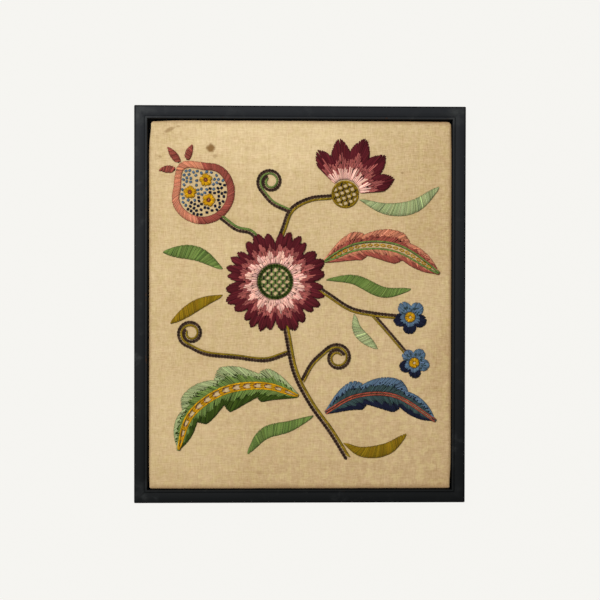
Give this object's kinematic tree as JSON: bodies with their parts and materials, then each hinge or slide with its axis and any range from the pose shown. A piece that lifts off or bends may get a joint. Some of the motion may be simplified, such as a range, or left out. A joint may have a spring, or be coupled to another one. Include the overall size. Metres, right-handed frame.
{
  "type": "crewel embroidery panel and frame",
  "caption": "Floral wool crewel embroidery on linen, lapped over a stiff board and set in a slim ebonised wood frame; lies or hangs flat.",
  "frame": {"origin": "under the middle of the panel, on the plane of the rails' backs that it lies on", "axes": "+Z is the way the picture faces, +Y is the picture's top, +X is its right as seen"},
  "size_m": [0.318, 0.381, 0.015],
  "materials": {
    "ebonised_wood": "satin black stain and polish over fine-grained wood, rubbed at the edges",
    "board": "plain pale card and fibre board",
    "linen": "plain-weave unbleached linen with slubs, age stains and a greyer lower right",
    "burgundy_wool": "matt two-ply crewel wool, shaded to rose and pale pink",
    "coral_wool": "matt two-ply crewel wool",
    "brick_wool": "matt two-ply crewel wool",
    "green_wool": "matt two-ply crewel wool",
    "dark_green_wool": "matt two-ply crewel wool",
    "light_green_wool": "matt two-ply crewel wool",
    "blue_wool": "matt two-ply crewel wool",
    "navy_wool": "matt two-ply crewel wool",
    "gold_wool": "matt two-ply crewel wool",
    "olive_wool": "matt two-ply crewel wool, worked beside a dark brown row on stems and tendrils"
  },
  "bodies": {
    "root": {"blue_flowers_stem": "olive_wool", "blue_leaf_left": "blue_wool", "blue_leaf_right": "navy_wool", "blue_stem_sickle": "light_green_wool", "fan_flower_cup": "gold_wool", "fan_flower_petal_1": "burgundy_wool", "fan_flower_petal_2": "burgundy_wool", "fan_flower_petal_3": "burgundy_wool", "fan_flower_petal_4": "burgundy_wool", "fan_flower_petal_5": "burgundy_wool", "fan_flower_stem": "olive_wool", "fan_low_sickle": "light_green_wool", "frame_rail_bottom": "ebonised_wood", "frame_rail_left": "ebonised_wood", "frame_rail_right": "ebonised_wood", "frame_rail_top": "ebonised_wood", "fruit_band": "coral_wool", "fruit_crown_1": "brick_wool", "fruit_crown_2": "brick_wool", "fruit_crown_3": "brick_wool", "fruit_floret_1": "gold_wool", "fruit_floret_2": "gold_wool", "fruit_floret_3": "gold_wool", "fruit_stem": "olive_wool", "green_leaf_left": "dark_green_wool", "green_leaf_right": "light_green_wool", "left_lower_sickle": "olive_wool", "left_tendril": "olive_wool", "left_upper_sickle": "green_wool", "linen_ground": "linen", "low_blue_flower_centre": "gold_wool", "low_blue_flower_petals": "blue_wool", "low_blue_flower_stem": "olive_wool", "low_tendril": "olive_wool", "main_stem": "olive_wool", "mount_board": "board", "rim_right_sickle": "green_wool", "rose_leaf_left": "coral_wool", "rose_leaf_right": "brick_wool", "round_flower_petal_1": "burgundy_wool", "round_flower_petal_2": "burgundy_wool", "round_flower_petal_3": "burgundy_wool", "round_flower_petal_4": "burgundy_wool", "round_flower_petal_5": "burgundy_wool", "round_flower_petal_6": "burgundy_wool", "round_flower_petal_7": "burgundy_wool", "round_flower_petal_8": "burgundy_wool", "round_flower_ring": "dark_green_wool", "round_flower_trellis": "light_green_wool", "stem_left_sickle": "green_wool", "stem_right_sickle": "olive_wool", "top_tendril": "olive_wool", "upper_blue_flower_centre": "gold_wool", "upper_blue_flower_petals": "blue_wool"}
  },
  "joints": []
}
